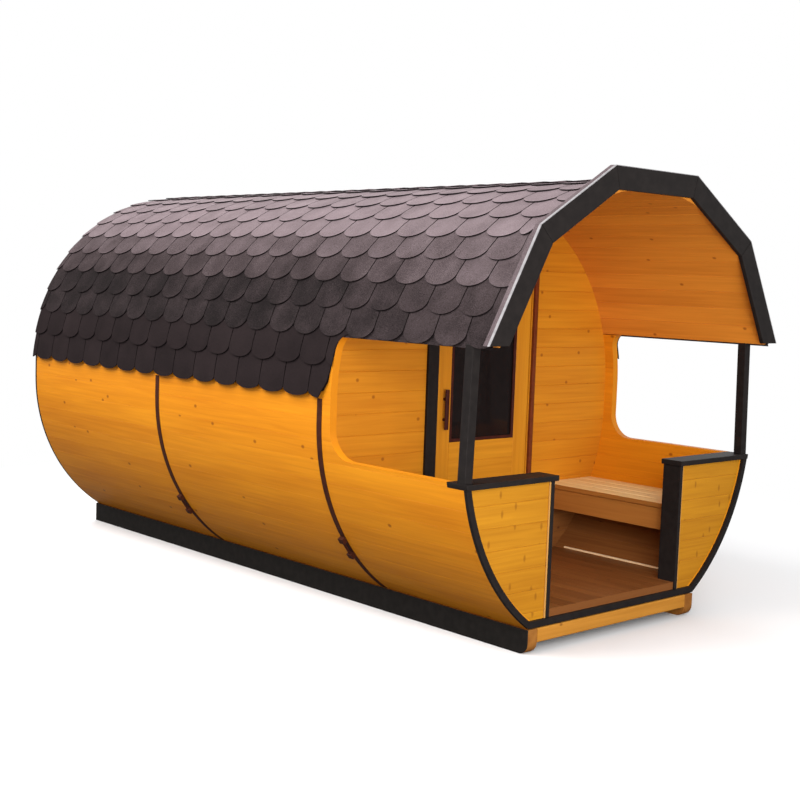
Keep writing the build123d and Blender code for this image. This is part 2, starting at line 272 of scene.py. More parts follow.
def cut_piece(piece, cutter_mesh, operation):
    """Cuts a piece's mesh with another closed mesh and keeps the result."""
    cutter = bpy.data.objects.new("cutter", cutter_mesh)
    scene.collection.objects.link(cutter)
    cut = piece.modifiers.new("cut", "BOOLEAN")
    cut.object = cutter
    cut.operation = operation
    cut.solver = "EXACT"
    cut.use_self = True
    bpy.context.view_layer.update()
    graph = bpy.context.evaluated_depsgraph_get()
    finished = bpy.data.meshes.new_from_object(piece.evaluated_get(graph))
    piece.modifiers.clear()
    piece.data = finished
    bpy.data.objects.remove(cutter)


def glazed_pine(name, tones, knot_tone, gloss, apart=0.5, knot=(0.009, 0.006), strength=0.8):
    """Planed pine under a glaze: streaks along the grain, board tones and knots."""
    made = bpy.data.materials.new(name)
    made.use_nodes = True
    tree = made.node_tree
    shader = tree.nodes["Principled BSDF"]
    grain = tree.nodes.new("ShaderNodeUVMap")
    grain.uv_map = "grain"
    stretch = tree.nodes.new("ShaderNodeMapping")
    stretch.inputs["Scale"].default_value = (1.3, 34, 1)
    streak = tree.nodes.new("ShaderNodeTexNoise")
    streak.inputs["Scale"].default_value = 1.5
    streak.inputs["Detail"].default_value = 5
    streak.inputs["Distortion"].default_value = 0.6
    patch = tree.nodes.new("ShaderNodeMapping")
    patch.inputs["Scale"].default_value = (0.7, 3.2, 1)
    cloud = tree.nodes.new("ShaderNodeTexNoise")
    cloud.inputs["Scale"].default_value = 1
    cloud.inputs["Detail"].default_value = 2
    for mapping, noise in ((stretch, streak), (patch, cloud)):
        tree.links.new(grain.outputs[0], mapping.inputs[0])
        tree.links.new(mapping.outputs[0], noise.inputs["Vector"])
    both = tree.nodes.new("ShaderNodeMix")
    both.inputs[0].default_value = 0.55
    tree.links.new(streak.outputs["Fac"], both.inputs[2])
    tree.links.new(cloud.outputs["Fac"], both.inputs[3])
    ramp = tree.nodes.new("ShaderNodeValToRGB")
    ramp.color_ramp.elements[0].position = 0.34
    ramp.color_ramp.elements[0].color = (*tones[0], 1)
    ramp.color_ramp.elements[1].position = 0.66
    ramp.color_ramp.elements[1].color = (*tones[1], 1)
    tree.links.new(both.outputs[0], ramp.inputs[0])
    squeeze = tree.nodes.new("ShaderNodeMapping")
    squeeze.inputs["Scale"].default_value = (1 / apart, knot[0] / knot[1] / apart, 1)
    spots = tree.nodes.new("ShaderNodeTexVoronoi")
    spots.voronoi_dimensions = "2D"
    spots.inputs["Scale"].default_value = 1
    tree.links.new(grain.outputs[0], squeeze.inputs[0])
    tree.links.new(squeeze.outputs[0], spots.inputs["Vector"])
    near = tree.nodes.new("ShaderNodeMapRange")
    near.interpolation_type = "SMOOTHSTEP"
    near.inputs["From Min"].default_value = 0.4 * knot[0] / apart
    near.inputs["From Max"].default_value = 1.7 * knot[0] / apart
    near.inputs["To Min"].default_value = strength
    near.inputs["To Max"].default_value = 0
    tree.links.new(spots.outputs["Distance"], near.inputs["Value"])
    knotted = tree.nodes.new("ShaderNodeMix")
    knotted.data_type = "RGBA"
    tree.links.new(near.outputs[0], knotted.inputs[0])
    tree.links.new(ramp.outputs[0], knotted.inputs[6])
    knotted.inputs[7].default_value = (*knot_tone, 1)
    tree.links.new(knotted.outputs[2], shader.inputs["Base Color"])
    bump = tree.nodes.new("ShaderNodeBump")
    bump.inputs["Strength"].default_value = 0.1
    bump.inputs["Distance"].default_value = 0.0006
    tree.links.new(streak.outputs["Fac"], bump.inputs["Height"])
    tree.links.new(bump.outputs[0], shader.inputs["Normal"])
    shader.inputs["Roughness"].default_value = gloss
    shader.inputs["Specular IOR Level"].default_value = 0.12
    return made


hull_pine = glazed_pine("hull_pine", [(0.62, 0.195, 0.007), (0.80, 0.295, 0.012)],
                        (0.26, 0.06, 0.005), 0.42, apart=0.45, knot=(0.011, 0.008))
# Brown pine: the floor's own brown stain, and painted shade on the hull and bulkhead beneath the benches.
brown_stain_and_painted_shade = glazed_pine("brown_stain_and_painted_shade", [(0.15, 0.048, 0.012), (0.25, 0.092, 0.024)],
                         (0.07, 0.022, 0.006), 0.45)
beyond = 1.5
opening_rear = 0.930
opening_low = 0.716
corner_low = 0.140
corner_high = 0.085
hole = block(Vector((-beyond, front_y - 0.200, base_z + opening_low)),
             Vector((beyond, front_y + opening_rear, base_z + eave_height)))
for edge_z, corner in ((opening_low, corner_low), (eave_height, corner_high)):
    ends = Vector((0, front_y + opening_rear, base_z + edge_z))
    picked = [e for e in hole.edges if all((v.co.yz - ends.yz).length < 0.001 for v in e.verts)]
    bmesh.ops.bevel(hole, geom=picked, offset=corner, segments=14, profile=0.5, affect="EDGES", material=-1)
opening_cutter = as_mesh(hole, "opening_cutter")
cap_rear = 0.123
cap_seat = 0.690
cap_room = block(Vector((-beyond, front_y - 0.050, base_z + cap_seat)),
                 Vector((beyond, front_y + cap_rear, base_z + opening_low + 0.006)))
cap_cutter = as_mesh(cap_room, "cap_cutter")
porch_depth = 0.990
painted_shade_staves = 5
lower_count = 14
stave_width = eave_run / lower_count
hull_mid = hull_rear / 2
for word in ("right", "left"):
    wall = bmesh.new()
    for i in range(lower_count):
        middle = stave_width * (i + 0.5)
        if word == "left":
            middle = 2 * ridge_run - middle
        number = i + 3 * len(word)
        board = plank(hull_rear - 2 * trim_thick, stave_width, stave_thick, stave_ease, number, bends=8)
        # Painted shade: inside the porch the inner faces of the lowest staves take the dark brown, for the
        # shade beneath the benches.
        if i < painted_shade_staves:
            inside = porch_depth + 0.01 - hull_mid
            bisect(board, (inside, 0, 0), (1, 0, 0))
            for face in board.faces:
                if face.normal.z < -0.5 and face.calc_center_median().x < inside:
                    face.material_index = 1
        add(wall, board, lambda co: on_hull(hull_mid + co.x, middle + co.y, co.z - stave_thick / 2))
    piece = stand_for(wall, f"hull_staves_{word}", hull_pine, [f"hull_low_{word}", f"hull_high_{word}"])
    piece.data.materials.append(brown_stain_and_painted_shade)
    cut_piece(piece, opening_cutter, "DIFFERENCE")
    cut_piece(piece, cap_cutter, "DIFFERENCE")

# Roof boards: the same staves carried over the top from eave to eave and out over
# the porch, nailed side by side, and seen from below as the porch's ceiling.
roof_front = -0.102
roof_count = 27
roof_start = eave_run + 0.004
roof_width = 2 * (ridge_run - roof_start) / roof_count
roof_length = hull_rear - trim_thick - roof_front
roof_mid = roof_front + roof_length / 2
roof_ease = 0.0026
ceiling_pine = glazed_pine("ceiling_pine", [(0.60, 0.195, 0.022), (0.76, 0.275, 0.032)],
                           (0.30, 0.07, 0.010), 0.45, apart=0.4, knot=(0.010, 0.007))
ceiling = bmesh.new()
for i in range(roof_count):
    middle = roof_start + roof_width * (i + 0.5)
    board = plank(roof_length, roof_width, stave_thick, roof_ease, i + 60, bends=8)
    add(ceiling, board, lambda co: on_hull(roof_mid + co.x, middle + co.y, co.z - stave_thick / 2))
stand_for(ceiling, "roof_boards", ceiling_pine,
          ["roof_side_left", "roof_side_right", "roof_upper_left", "roof_upper_right", "roof_top"])

# Roof covering: bitumen felt under rounded bitumen tabs with mineral granules and
# black cut edges, nailed in lapped courses that climb the verge fillets in front,
# and folded pieces of the same sheet along the ridge.
random.seed(7)
tab_pitch = 0.2045
tab_first = 0.985
roof_rows = 10
eave_drop = 0.016
tab_foot = 0.0075
tab_fall = 0.0065
tab_thick = 0.0050
low_edge = upright + arc_radius * asin((eave_height - eave_drop - high_centre) / (arc_radius + tab_foot))
row_rise = (ridge_run - low_edge) / roof_rows
verge_run = 0.185
verge_fall = 0.078
verge_from = 0.610


def barge_corner(turn, proud):
    """A corner of the bargeboards, from the centre of the roof's arc."""
    reach = arc_radius + proud
    return Vector((reach * cos(radians(turn)), reach * sin(radians(turn))))


eave_rise = eave_height - high_centre
barge_eave = Vector((sqrt(arc_radius**2 - eave_rise**2) + 0.045, eave_rise))
barge_knee = barge_corner(46.7, 0.065)
barge_ridge = barge_corner(75.8, 0.087)
barge_line = (barge_eave, barge_knee, barge_ridge, Vector((-barge_ridge.x, barge_ridge.y)))


def verge_lift(along, run):
    """How far the fillets behind the bargeboards raise the tabs over a point."""
    if run > ridge_run:
        run = 2 * ridge_run - run
    if along > roof_front + verge_run or run < upright:
        return 0
    turn = min((run - upright) / arc_radius, pi / 2)
    ray = Vector((cos(turn), sin(turn)))
    if arc_radius * ray.y < verge_from:
        return 0
    for corner, next_corner in zip(barge_line, barge_line[1:]):
        flat = next_corner - corner
        reach = corner.cross(flat) / ray.cross(flat)
        if ray.x * reach >= next_corner.x - 0.001:
            break
    fall = verge_fall * (along - roof_front) / verge_run
    return max(0, reach - arc_radius - fall - 0.010)


def granules(name, tones, gloss):
    """Mineral granules on bitumen: a fine speckle over a soft mottle, toned by tab, the roof tabs' tone
    holding painted shade by course.
    """
    made = bpy.data.materials.new(name)
    made.use_nodes = True
    tree = made.node_tree
    shader = tree.nodes["Principled BSDF"]
    place = tree.nodes.new("ShaderNodeTexCoord")
    speck = tree.nodes.new("ShaderNodeTexNoise")
    speck.inputs["Scale"].default_value = 380
    speck.inputs["Detail"].default_value = 2
    mottle = tree.nodes.new("ShaderNodeTexNoise")
    mottle.inputs["Scale"].default_value = 7
    mottle.inputs["Detail"].default_value = 3
    for noise in (speck, mottle):
        tree.links.new(place.outputs["Object"], noise.inputs["Vector"])
    blend = tree.nodes.new("ShaderNodeMix")
    blend.inputs[0].default_value = 0.25
    tree.links.new(speck.outputs["Fac"], blend.inputs[2])
    tree.links.new(mottle.outputs["Fac"], blend.inputs[3])
    tone = tree.nodes.new("ShaderNodeAttribute")
    tone.attribute_name = "tone"
    shifted = tree.nodes.new("ShaderNodeMath")
    shifted.operation = "ADD"
    tree.links.new(blend.outputs[0], shifted.inputs[0])
    tree.links.new(tone.outputs["Fac"], shifted.inputs[1])
    ramp = tree.nodes.new("ShaderNodeValToRGB")
    ramp.color_ramp.elements[0].position = 0.05
    ramp.color_ramp.elements[0].color = (0.008, 0.006, 0.006, 1)
    ramp.color_ramp.elements[1].position = 0.85
    ramp.color_ramp.elements[1].color = (*tones[1], 1)
    middle = ramp.color_ramp.elements.new(0.25)
    middle.color = (*tones[0], 1)
    tree.links.new(shifted.outputs[0], ramp.inputs[0])
    tree.links.new(ramp.outputs[0], shader.inputs["Base Color"])
    bump = tree.nodes.new("ShaderNodeBump")
    bump.inputs["Strength"].default_value = 0.35
    bump.inputs["Distance"].default_value = 0.0005
    tree.links.new(speck.outputs["Fac"], bump.inputs["Height"])
    tree.links.new(bump.outputs[0], shader.inputs["Normal"])
    shader.inputs["Roughness"].default_value = gloss
    shader.inputs["Specular IOR Level"].default_value = 0.07
    return made


def toned(shape, shade, cut_edges=0.0):
    """Gives every face of a tab its own shade, and its cut edges a darker one."""
    layer = shape.faces.layers.float.new("tone")
    for face in shape.faces:
        face[layer] = shade if abs(face.normal.z) > 0.5 else shade - cut_edges


def tab(width, height, drop):
    """A flat tab, 1 m thick until it is laid: a round lower edge at Y 0, straight
    above it, and cut across so that it can bend."""
    shape = bmesh.new()
    bmesh.ops.create_circle(shape, cap_ends=True, segments=28, radius=1)
    for v in shape.verts:
        y = height if v.co.y > 0.0001 else drop * (1 + v.co.y)
        v.co = (v.co.x * width / 2, y, 0)
    for i in range(1, 5):
        bisect(shape, (0, height * i / 5, 0), (0, 1, 0))
    made = bmesh.ops.extrude_face_region(shape, geom=shape.faces[:])
    raised = [g for g in made["geom"] if isinstance(g, bmesh.types.BMVert)]
    bmesh.ops.translate(shape, vec=(0, 0, 1), verts=raised)
    bmesh.ops.recalc_face_normals(shape, faces=shape.faces)
    return shape


roof_bitumen = granules("roof_granules", [(0.050, 0.036, 0.037), (0.34, 0.262, 0.278)], 0.85)
felt_run = 2 * (ridge_run - low_edge) - 0.002
felt_mid = (hull_rear + roof_front) / 2
felt = plank(hull_rear - roof_front, felt_run, 0.0006, 0, 0, bends=60)
toned(felt, -0.35)
sheet = bmesh.new()
add(sheet, felt, lambda co: on_hull(felt_mid + co.x, ridge_run + co.y, co.z + 0.0005))
cap_long = 0.200
cap_step = 0.150
cap_wide = 0.240
cap_thick = 0.004
cap_count = 28
for j in range(cap_count):
    y = hull_rear - cap_long / 2 - cap_step * j
    cap = plank(cap_long, cap_wide, cap_thick, 0.001, j, bends=8)
    bisect(cap, (roof_front - y, 0, 0), (-1, 0, 0), clear=True)
    for share in (0.5, 1):
        bisect(cap, (roof_front + verge_run * share - y, 0, 0), (1, 0, 0))
    toned(cap, 0.1 + random.uniform(-0.03, 0.03), 0.3)

    def fold(co):
        """Bends a ridge piece over the ridge, its rear end lapped over the last one."""
        along, run = y + co.x, ridge_run + co.y
        rise = 0.0145 + co.z - 0.006 * (0.5 + co.x / cap_long)
        return on_hull(along, run, rise + max(0, verge_lift(along, run) - 0.0045))

    add(sheet, cap, fold)
stand_for(sheet, "roof_felt_and_ridge", roof_bitumen, ["shingles_top"])

# Painted shade: the tabs of the low courses are painted darker for the shade on the roof's lower slope, a
# little less so over the porch.
row_painted_shade = (-0.41, -0.41, -0.29, -0.18, -0.01, 0.04, 0.05, 0.06, 0.06, 0.07)
tab_joint = 0.005
tab_lap = 0.066
tab_round = 0.062
tabs_in_front = 6
tabs_behind = 16
for word in ("right", "left"):
    roof = bmesh.new()
    for k in range(roof_rows):
        for j in range(-tabs_in_front, tabs_behind + 1):
            y = tab_first + tab_pitch * (j + (k % 2) / 2)
            if y + tab_pitch / 2 < roof_front + 0.01 or y - tab_pitch / 2 > hull_rear - 0.01:
                continue
            one = tab(tab_pitch - tab_joint, row_rise + tab_lap, tab_round)
            bisect(one, (roof_front - y, 0, 0), (-1, 0, 0), clear=True)
            bisect(one, (hull_rear - y, 0, 0), (1, 0, 0), clear=True)
            for share in (0.25, 0.5, 0.75, 1):
                bisect(one, (roof_front + verge_run * share - y, 0, 0), (1, 0, 0))
            # Each tab's tone is its course's painted shade and a small random shift; toward the porch the
            # three lowest courses are painted lighter.
            shade = row_painted_shade[k] + random.uniform(-0.03, 0.03)
            if k < 3:
                shade += 0.09 * max(0, min(1, 1.3 - y))
            toned(one, shade, 0.55)
            curl = random.uniform(0.0, 0.0012)
            foot = low_edge + row_rise * k

            def lay(co):
                """Lays a tab on the course below, its foot a little curled."""
                share = min(1, co.y / row_rise)
                lift = tab_foot - tab_fall * share + (tab_thick - 0.002 * share) * co.z
                lift += curl * max(0, 1 - co.y / 0.05)
                run = min(foot + co.y, ridge_run - 0.002)
                lift += verge_lift(y + co.x, run)
                if word == "left":
                    run = 2 * ridge_run - run
                return on_hull(y + co.x, run, lift)

            add(roof, one, lay)
    under = [f"shingles_side_{word}", f"shingles_upper_{word}"]
    stand_for(roof, f"shingle_tabs_{word}", roof_bitumen, under)

# Side skirts: two more courses of darker tabs over a backing sheet, flared out
# from the wall, the front one cut away up to the porch opening.
skirt_bitumen = granules("skirt_granules", [(0.009, 0.006, 0.0063), (0.038, 0.0255, 0.026)], 0.85)
skirt_low = 1.010
skirt_foot = low_arc + skirt_low - low_centre
skirt_top = low_edge + 0.010
skirt_rise = (skirt_top - skirt_foot) / 2
skirt_front = 0.8971
skirt_tip = 1.012
tabs_from = 0.845
skirt_joint = 0.004
skirt_laps = (0.066, 0.024)
skirt_rounds = (0.034, 0.050)
skirt_feet = (0.0165, 0.0095)
skirt_falls = (0.0140, 0.0075)
cut_corners = (Vector((-0.004, 0)), Vector((-0.060, 0.085)), Vector((-0.082, 0.220)))
sheet_low = skirt_foot + skirt_rounds[0]
sheet_mid = (sheet_low + skirt_top) / 2
sheet_along = (hull_rear + skirt_front) / 2


def trim_front(shape, shift):
    """Cuts the skirt's front corner away, from the first tab's tip upward."""
    for low_end, high_end in zip(cut_corners, cut_corners[1:]):
        line = high_end - low_end
        bisect(shape, (low_end + Vector(shift)).to_3d(), (-line.y, line.x, 0), clear=True)


for word in ("right", "left"):

    def hang(along, run, proud):
        """The same point on the side that is being hung."""
        return on_hull(along, 2 * ridge_run - run if word == "left" else run, proud)

    backing = bmesh.new()
    board = plank(hull_rear - skirt_front, skirt_top - sheet_low, 0.0008, 0, 0, bends=10)
    trim_front(board, (skirt_tip - sheet_along, skirt_foot - sheet_mid))
    toned(board, -0.1)
    add(backing, board, lambda co: hang(sheet_along + co.x, sheet_mid + co.y, co.z + 0.0008))
    backed = stand_for(backing, f"skirt_backing_{word}", skirt_bitumen, [])
    cut_piece(backed, opening_cutter, "DIFFERENCE")
    skirt = bmesh.new()
    for k in range(2):
        for j in range(-k, tabs_behind):
            y = tab_first + tab_pitch * (j + (k % 2) / 2)
            if y - tab_pitch / 2 > hull_rear - 0.01:
                continue
            one = tab(tab_pitch - skirt_joint, skirt_rise + skirt_laps[k], skirt_rounds[k])
            if j == 0 and k == 0:
                trim_front(one, (skirt_tip - tab_first, 0))
            bisect(one, (tabs_from - y, 0, 0), (-1, 0, 0), clear=True)
            bisect(one, (hull_rear - y, 0, 0), (1, 0, 0), clear=True)
            toned(one, random.uniform(-0.05, 0.05) - 0.08, 0.4)
            foot = skirt_foot + skirt_rise * k

            def drape(co):
                """Hangs a tab on the backing, its foot standing off the wall."""
                share = min(1, co.y / skirt_rise)
                stand = skirt_feet[k] - skirt_falls[k] * share
                return hang(y + co.x, foot + co.y, stand + tab_thick * co.z * (1 - 0.4 * share))

            add(skirt, one, drape)
    skirted = stand_for(skirt, f"skirt_tabs_{word}", skirt_bitumen, [f"skirt_{word}"])
    cut_piece(skirted, opening_cutter, "DIFFERENCE")

# Verge: tilting fillets that carry the tabs up to the bargeboards, and a folded
# grey metal strip over the boards' top edges, its back edge lapped by bitumen.
def coat(name, colour, rough, gloss):
    """A smooth coat, faintly mottled in its colour and uneven in its sheen."""
    made = bpy.data.materials.new(name)
    made.use_nodes = True
    tree = made.node_tree
    shader = tree.nodes["Principled BSDF"]
    place = tree.nodes.new("ShaderNodeTexCoord")
    mottle = tree.nodes.new("ShaderNodeTexNoise")
    mottle.inputs["Scale"].default_value = 38
    mottle.inputs["Detail"].default_value = 4
    tree.links.new(place.outputs["Object"], mottle.inputs["Vector"])
    ramp = tree.nodes.new("ShaderNodeValToRGB")
    for element, position, share in zip(ramp.color_ramp.elements, (0.35, 0.65), (0.85, 1.15)):
        element.position = position
        element.color = (*(c * share for c in colour), 1)
    tree.links.new(mottle.outputs["Fac"], ramp.inputs[0])
    tree.links.new(ramp.outputs[0], shader.inputs["Base Color"])
    sheen = tree.nodes.new("ShaderNodeMapRange")
    sheen.inputs["From Min"].default_value = 0.3
    sheen.inputs["From Max"].default_value = 0.7
    sheen.inputs["To Min"].default_value = 0.85 * rough
    sheen.inputs["To Max"].default_value = 1.2 * rough
    tree.links.new(mottle.outputs["Fac"], sheen.inputs["Value"])
    tree.links.new(sheen.outputs[0], shader.inputs["Roughness"])
    shader.inputs["Specular IOR Level"].default_value = gloss
    return made


def merged(node):
    """A copy of a plain solid with its loose triangles joined."""
    shape = bmesh.new()
    shape.from_mesh(nodes[node].data)
    bmesh.ops.remove_doubles(shape, verts=shape.verts, dist=0.00001)
    return shape


fillet_sunk = 0.009
fillet = merged("verge_fillet")
for v in fillet.verts:
    outward = Vector((v.co.x, 0, v.co.z - base_z - high_centre)).normalized()
    v.co -= fillet_sunk * outward
toned(fillet, -0.3)
stand_for(fillet, "verge_fillet_board", roof_bitumen, ["verge_fillet"])
barge_front = front_y - 0.124
metal_rear = barge_front + 0.013
strip = merged("drip_edge")
bisect(strip, (0, metal_rear, 0), (0, 1, 0))
toned(strip, -0.1)
for face in strip.faces:
    if face.calc_center_median().y > metal_rear:
        face.material_index = 1
drip_coat = coat("drip_coat", (0.27, 0.255, 0.26), 0.45, 0.3)
edge_strip = stand_for(strip, "drip_strip", drip_coat, ["drip_edge"])
edge_strip.data.materials.append(roof_bitumen)


# Bulkhead and rear wall: level tongued boards cut to the oval and glazed as the
# hull is. The bulkhead's are cut round the doorway, and painted dark brown beneath
# the benches as painted shade.
def boarded(name, names, material, courses, body="sauna", also=()):
    """Cuts courses of boards to the outline of the solids that they stand for, and
    of others that they reach into."""
    board_mesh = as_mesh(courses, "courses")
    whole = bmesh.new()
    for node in names + list(also):
        piece = bpy.data.objects.new("boards", board_mesh.copy())
        scene.collection.objects.link(piece)
        cut_piece(piece, as_mesh(merged(node), "outline"), "INTERSECT")
        whole.from_mesh(piece.data)
        bpy.data.objects.remove(piece)
    return stand_for(whole, name, material, names, body)


def level_at(middle):
    """Lays a board level across the sauna, its face to the front."""
    return lambda co: middle + Vector((co.x, -co.z, co.y))


def courses_up(low, high, width, number):
    """Level boards stacked up a wall between two corners, a hair inside its faces."""
    whole = bmesh.new()
    middle = (low + high) / 2
    for i in range(int((high.z - low.z) / width) + 1):
        board = plank(high.x - low.x, width, high.y - low.y - board_shy, board_ease, number + i)
        middle.z = low.z + width * (i + 0.5)
        add(whole, board, level_at(middle))
    return whole


def wall_courses(node, number):
    """Courses of boards over the whole hull, as thick as a wall and from its foot."""
    low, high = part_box(node)
    start = Vector((-wall_reach, low.y, low.z - 0.02))
    return courses_up(start, Vector((wall_reach, high.y, wall_top)), wall_board, number)


board_shy = 0.0004
board_ease = 0.0026
wall_board = 0.108
wall_reach = 1.1
wall_top = 2.2
porch_pine = glazed_pine("porch_pine", [(0.53, 0.175, 0.010), (0.68, 0.265, 0.016)],
                         (0.28, 0.07, 0.006), 0.45, apart=0.27, knot=(0.009, 0.008))
courses = wall_courses("bulkhead_left", 5)
seat_under = base_z + 0.443
apron_in = 0.546
bisect(courses, (0, 0, seat_under), (0, 0, 1))
for x in (-apron_in, apron_in):
    bisect(courses, (x, 0, 0), (1, 0, 0))
# Painted shade: the boards' front faces below the seats and outside the aprons take the dark brown, for the
# shade beneath the benches.
for face in courses.faces:
    middle = face.calc_center_median()
    if face.normal.y < -0.5 and middle.z < seat_under and abs(middle.x) > apron_in:
        face.material_index = 1
bulkhead = ["bulkhead_left", "bulkhead_right", "bulkhead_over_door"]
wall_piece = boarded("bulkhead_boards", bulkhead, porch_pine, courses)
wall_piece.data.materials.append(brown_stain_and_painted_shade)
boarded("rear_wall_boards", ["rear_wall"], porch_pine, wall_courses("rear_wall", 31))

# Half walls: level boards nailed over the floor's front edge, closed by dark end
# boards and dark caps, with a pale bead in the corner beside each end board.
half_pine = glazed_pine("half_wall_pine", [(0.41, 0.156, 0.008), (0.55, 0.235, 0.013)],
                        (0.20, 0.060, 0.005), 0.45, apart=0.12, knot=(0.007, 0.015), strength=0.55)
pale_edge = glazed_pine("pale_edge", [(0.50, 0.24, 0.055), (0.58, 0.29, 0.075)], (0.4, 0.2, 0.05), 0.5)
sill_top = base_z + 0.038
half_board = 0.1064
half_in = 0.516
half_out = 1.2
bead_wide = 0.009
bead_thick = 0.006


def standing_at(middle):
    """Stands a board upright, its face to the front."""
    return lambda co: middle + Vector((-co.y, -co.z, co.x))


for word, side in (("left", -1), ("right", 1)):
    low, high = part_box(f"half_wall_{word}")
    left, right = sorted((half_in * side, half_out * side))
    start = Vector((left, low.y, low.z - half_board))
    courses = courses_up(start, Vector((right, high.y, high.z)), half_board, 50 + len(word))
    bisect(courses, (0, 0, sill_top), (0, 0, -1), clear=True)
    boarded(f"half_wall_boards_{word}", [f"half_wall_{word}"], half_pine, courses, also=["floor"])
    bead = plank(high.z - sill_top, bead_wide, bead_thick, 0.001, 60)
    middle = Vector((side * (half_in + bead_wide / 2), low.y - bead_thick / 2, (high.z + sill_top) / 2))
    corner = bmesh.new()
    add(corner, bead, standing_at(middle))
    stand_for(corner, f"half_wall_bead_{word}", pale_edge, [])


def stained(name, tones, gloss):
    """A dark stain: faint streaks of the grain along the timber show through."""
    made = bpy.data.materials.new(name)
    made.use_nodes = True
    tree = made.node_tree
    shader = tree.nodes["Principled BSDF"]
    place = tree.nodes.new("ShaderNodeTexCoord")
    streak = tree.nodes.new("ShaderNodeTexNoise")
    streak.inputs["Scale"].default_value = 26
    streak.inputs["Detail"].default_value = 4
    tree.links.new(place.outputs["Object"], streak.inputs["Vector"])
    ramp = tree.nodes.new("ShaderNodeValToRGB")
    ramp.color_ramp.elements[0].position = 0.35
    ramp.color_ramp.elements[0].color = (*tones[0], 1)
    ramp.color_ramp.elements[1].position = 0.7
    ramp.color_ramp.elements[1].color = (*tones[1], 1)
    tree.links.new(streak.outputs["Fac"], ramp.inputs[0])
    tree.links.new(ramp.outputs[0], shader.inputs["Base Color"])
    bump = tree.nodes.new("ShaderNodeBump")
    bump.inputs["Strength"].default_value = 0.12
    bump.inputs["Distance"].default_value = 0.0006
    tree.links.new(streak.outputs["Fac"], bump.inputs["Height"])
    tree.links.new(bump.outputs[0], shader.inputs["Normal"])
    shader.inputs["Roughness"].default_value = gloss
    shader.inputs["Specular IOR Level"].default_value = 0.1
    return made


def eased(node, width, material, body="sauna", down_to=None):
    """The plain solid with its sharp edges rounded, as planed timber is, and its
    foot carried down where it is asked."""
    shape = merged(node)
    bmesh.ops.dissolve_limit(shape, angle_limit=radians(0.5), verts=shape.verts, edges=shape.edges)
    foot = min(v.co.z for v in shape.verts)
    for v in shape.verts:
        if down_to is not None and v.co.z < foot + 0.001:
            v.co.z = down_to
    sharp = [e for e in shape.edges if e.is_manifold and e.calc_face_angle() > radians(35)]
    bmesh.ops.bevel(shape, geom=sharp, offset=width, segments=2, profile=0.5,
                    affect="EDGES", clamp_overlap=True, material=-1)
    return stand_for(shape, node + "_eased", material, [node], body)


dark_stain = stained("dark_stain", [(0.0115, 0.009, 0.0085), (0.0165, 0.013, 0.012)], 0.5)
for word in ("left", "right"):
    eased(f"half_wall_cap_{word}", 0.0025, dark_stain)
    eased(f"half_wall_end_{word}", 0.0025, dark_stain, down_to=sill_top)

# Posts, bargeboards and the trims round the hull's ends: planed softwood under
# the same near-black stain, mitred at the bargeboards' corners.
for node in ("post_left", "post_right", "front_bargeboards"):
    eased(node, 0.002, dark_stain)
trim_width = 0.032
band = plank(2 * wall_reach, trim_width, trim_thick, 0, 0)
sill_band = bmesh.new()
add(sill_band, band, level_at(Vector((0, front_y + trim_thick / 2, sill_top - trim_width / 2))))
boarded("sill_board", ["sill_trim"], dark_stain, sill_band)
for word, start, up_the_side in (("left", 2 * ridge_run, -1), ("right", 0, 1)):
    bent = plank(trim_thick + 0.002, upright, trim_width, 0, 0, bends=40)
    ring = bmesh.new()

    def bend(co):
        """Bends a trim round the front edge of the hull, from the sill upward."""
        run = start + up_the_side * (upright / 2 + co.y)
        return on_hull(trim_thick / 2 + co.x, run, 0.001 + co.z - trim_width / 2)

    add(ring, bent, bend)
    boarded(f"front_trim_board_{word}", [f"front_trim_{word}"], dark_stain, ring)


def dress(names, material):
    """Gives plain solids their finish."""
    for name in names:
        nodes[name].data.materials.clear()
        nodes[name].data.materials.append(material)


dress(["rear_trim"], dark_stain)

# Door frame: a wide dark casing on the handle side, a narrow red-brown one on the
# hinge side, a head, stops in the room and a low threshold.
red_brown = coat("red_brown_stain", (0.150, 0.030, 0.008), 0.5, 0.15)
for node in ("door_casing_left", "door_casing_head", "threshold"):
    eased(node, 0.002, dark_stain)
eased("door_casing_right", 0.002, red_brown)
dress(["door_stops"], dark_stain)

# Door leaf: two upright stiles and a top rail round a dark pane held by red-brown
# beads, and short level boards below it, glazed as the bulkhead is.
low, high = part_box("door_leaf")
pane_low, pane_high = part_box("door_glass")
leaf_mid = (low + high) / 2
leaf = bmesh.new()
stile = pane_low.x - low.x
between = high.x - low.x - 2 * stile
deep = high.y - low.y - board_shy
for i, x in enumerate((low.x + stile / 2, high.x - stile / 2)):
    board = plank(high.z - low.z, stile, deep, 0.002, 71 + i)
    add(leaf, board, standing_at(Vector((x, leaf_mid.y, leaf_mid.z))))
rail = high.z - pane_high.z
board = plank(between, rail, deep, 0.002, 75)
add(leaf, board, level_at(Vector((leaf_mid.x, leaf_mid.y, high.z - rail / 2))))
panel_count = 6
panel_width = (pane_low.z - low.z) / panel_count
for i in range(panel_count):
    board = plank(between, panel_width, deep, 0.0018, 80 + i)
    add(leaf, board, level_at(Vector((leaf_mid.x, leaf_mid.y, low.z + panel_width * (i + 0.5)))))
door_pine = glazed_pine("door_pine", [(0.52, 0.185, 0.011), (0.68, 0.28, 0.018)],
                        (0.26, 0.065, 0.006), 0.42)
stand_for(leaf, "door_boards", door_pine, ["door_leaf"], "door")

